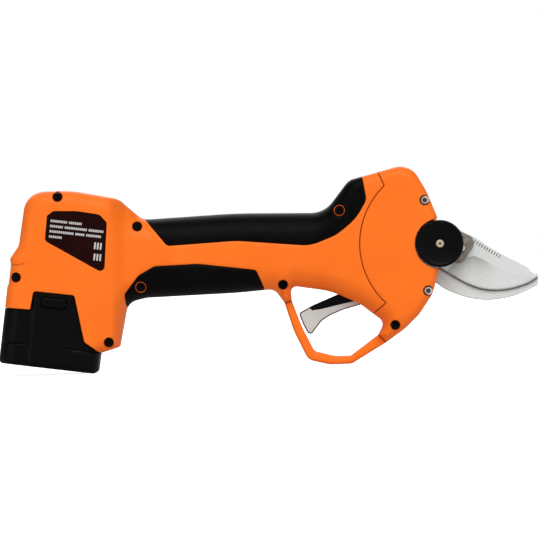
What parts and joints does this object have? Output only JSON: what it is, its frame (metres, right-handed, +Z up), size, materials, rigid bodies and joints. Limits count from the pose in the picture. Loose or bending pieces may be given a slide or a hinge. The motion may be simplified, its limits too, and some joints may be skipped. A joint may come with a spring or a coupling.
{
  "type": "battery electric pruner",
  "caption": "Handheld battery pruner: upright-pod battery, gripped handle, guarded trigger, and a motor and gear train that swing a blade past a hooked counter blade",
  "frame": {"origin": "below the middle of the tool, on the surface it rests on", "axes": "+X along the drive axis towards the blade tip, +Y to the tool's left-hand side, +Z up"},
  "size_m": [0.3526, 0.054, 0.1265],
  "materials": {
    "orange_shell": "fine-textured moulded plastic",
    "soft_grip": "matt soft grip",
    "dark_plastic": "fine-textured black plastic",
    "trigger_plastic": "smooth light grey",
    "label_film": "satin printed film",
    "blade_steel": "ground steel",
    "driver_steel": "phosphated steel",
    "gear_steel": "cut steel",
    "screw_steel": "bright zinc",
    "black_screw": "black phosphate",
    "casting": "die cast",
    "motor_metal": "black finish",
    "copper": "enamelled copper and iron",
    "bronze": "sintered bronze",
    "magnet": "nickel plated",
    "board": "circuit board",
    "cell_wrap": "shrink film",
    "lens": "clear green lens"
  },
  "bodies": {
    "tool": {"cap_screw": "bronze", "control_board": "board", "counter_blade": "blade_steel", "counter_blade_screws": "screw_steel", "gearbox_front_cover": "casting", "hall_sensor_board": "board", "head_cover_left": "orange_shell", "head_cover_right": "orange_shell", "head_cover_screws": "screw_steel", "head_frame": "casting", "housing_left": "orange_shell", "housing_right": "orange_shell", "housing_screws": "black_screw", "lower_grip_left": "soft_grip", "lower_grip_right": "soft_grip", "motor_bearings": "screw_steel", "motor_can": "motor_metal", "motor_front_plate": "casting", "motor_rear_cap": "casting", "output_bearings": "screw_steel", "pivot_bolt": "screw_steel", "pivot_cap": "dark_plastic", "pivot_nut": "screw_steel", "rating_label": "label_film", "ring_gear": "gear_steel", "stator": "copper", "status_lens": "lens", "terminal_block": "dark_plastic", "trigger_guard": "orange_shell", "trigger_pin": "screw_steel", "trigger_spring": "gear_steel", "upper_grip_left": "soft_grip", "upper_grip_right": "soft_grip"},
    "rotor": {"rotor_shaft": "gear_steel", "rotor_magnet": "magnet", "sun_gear_1": "gear_steel"},
    "carrier": {"carrier_1": "gear_steel", "sun_gear_2": "gear_steel"},
    "output": {"output_carrier": "gear_steel", "bevel_pinion": "gear_steel"},
    "cutter": {"sector_gear": "driver_steel", "blade": "blade_steel", "drive_pin": "blade_steel", "pivot_bushing": "bronze"},
    "battery": {"battery_foot": "dark_plastic", "battery_case": "dark_plastic", "battery_cells": "cell_wrap", "battery_contacts": "bronze"},
    "latch_right": {"latch_button_right": "dark_plastic"},
    "latch_left": {"latch_button_left": "dark_plastic"},
    "power": {"power_button": "dark_plastic"},
    "trigger": {"trigger": "trigger_plastic", "trigger_insert": "dark_plastic", "trigger_magnet": "magnet"},
    "planet_1a": {"planet_1a": "gear_steel"},
    "planet_1b": {"planet_1b": "gear_steel"},
    "planet_1c": {"planet_1c": "gear_steel"},
    "planet_2a": {"planet_2a": "gear_steel"},
    "planet_2b": {"planet_2b": "gear_steel"},
    "planet_2c": {"planet_2c": "gear_steel"}
  },
  "joints": [
    {"name": "rotor_spin", "type": "hinge", "parent": "tool", "child": "rotor", "pos_m": [0, 0, 0.076], "axis": [1, 0, 0], "range_deg": [0, 8400]},
    {"name": "carrier_spin", "type": "hinge", "parent": "tool", "child": "carrier", "pos_m": [0, 0, 0.076], "axis": [1, 0, 0], "range_deg": [0, 1680.1]},
    {"name": "output_spin", "type": "hinge", "parent": "tool", "child": "output", "pos_m": [0, 0, 0.076], "axis": [1, 0, 0], "range_deg": [0, 336.1]},
    {"name": "planet_1a_spin", "type": "hinge", "parent": "carrier", "child": "planet_1a", "pos_m": [0, 0.009, 0.076], "axis": [1, 0, 0], "range_deg": [-4480.1, 0]},
    {"name": "planet_1b_spin", "type": "hinge", "parent": "carrier", "child": "planet_1b", "pos_m": [0, -0.0045, 0.08379], "axis": [1, 0, 0], "range_deg": [-4480.1, 0]},
    {"name": "planet_1c_spin", "type": "hinge", "parent": "carrier", "child": "planet_1c", "pos_m": [0, -0.0045, 0.06821], "axis": [1, 0, 0], "range_deg": [-4480.1, 0]},
    {"name": "planet_2a_spin", "type": "hinge", "parent": "output", "child": "planet_2a", "pos_m": [0, 0.009, 0.076], "axis": [1, 0, 0], "range_deg": [-896.1, 0]},
    {"name": "planet_2b_spin", "type": "hinge", "parent": "output", "child": "planet_2b", "pos_m": [0, -0.0045, 0.08379], "axis": [1, 0, 0], "range_deg": [-896.1, 0]},
    {"name": "planet_2c_spin", "type": "hinge", "parent": "output", "child": "planet_2c", "pos_m": [0, -0.0045, 0.06821], "axis": [1, 0, 0], "range_deg": [-896.1, 0]},
    {"name": "blade_swing", "type": "hinge", "parent": "tool", "child": "cutter", "pos_m": [0.112, 0, 0.076], "axis": [0, -1, 0], "range_deg": [0, 56.1]},
    {"name": "battery_slide", "type": "slide", "parent": "tool", "child": "battery", "axis": [-0.1478, 0, -0.989], "range_m": [0, 0.085]},
    {"name": "latch_right_press", "type": "slide", "parent": "battery", "child": "latch_right", "axis": [0, 1, 0], "range_m": [0, 0.0018], "stiffness_N_per_m": 900, "springref_m": -0.001},
    {"name": "latch_left_press", "type": "slide", "parent": "battery", "child": "latch_left", "axis": [0, -1, 0], "range_m": [0, 0.0018], "stiffness_N_per_m": 900, "springref_m": -0.001},
    {"name": "power_press", "type": "slide", "parent": "tool", "child": "power", "axis": [0, -1, 0], "range_m": [0, 0.0012], "stiffness_N_per_m": 900, "springref_m": -0.001},
    {"name": "trigger_pull", "type": "hinge", "parent": "tool", "child": "trigger", "pos_m": [0.0665, 0, 0.047], "axis": [0, 1, 0], "range_deg": [0, 12], "stiffness_Nm_per_rad": 0.25, "springref_deg": -20.05}
  ],
  "couplings": [
    {"joint": "carrier_spin", "follows": "rotor_spin", "ratio": 0.2},
    {"joint": "output_spin", "follows": "rotor_spin", "ratio": 0.04},
    {"joint": "planet_1a_spin", "follows": "rotor_spin", "ratio": -0.53333},
    {"joint": "planet_1b_spin", "follows": "rotor_spin", "ratio": -0.53333},
    {"joint": "planet_1c_spin", "follows": "rotor_spin", "ratio": -0.53333},
    {"joint": "planet_2a_spin", "follows": "rotor_spin", "ratio": -0.10667},
    {"joint": "planet_2b_spin", "follows": "rotor_spin", "ratio": -0.10667},
    {"joint": "planet_2c_spin", "follows": "rotor_spin", "ratio": -0.10667},
    {"joint": "blade_swing", "follows": "rotor_spin", "ratio": 0.0066667}
  ]
}
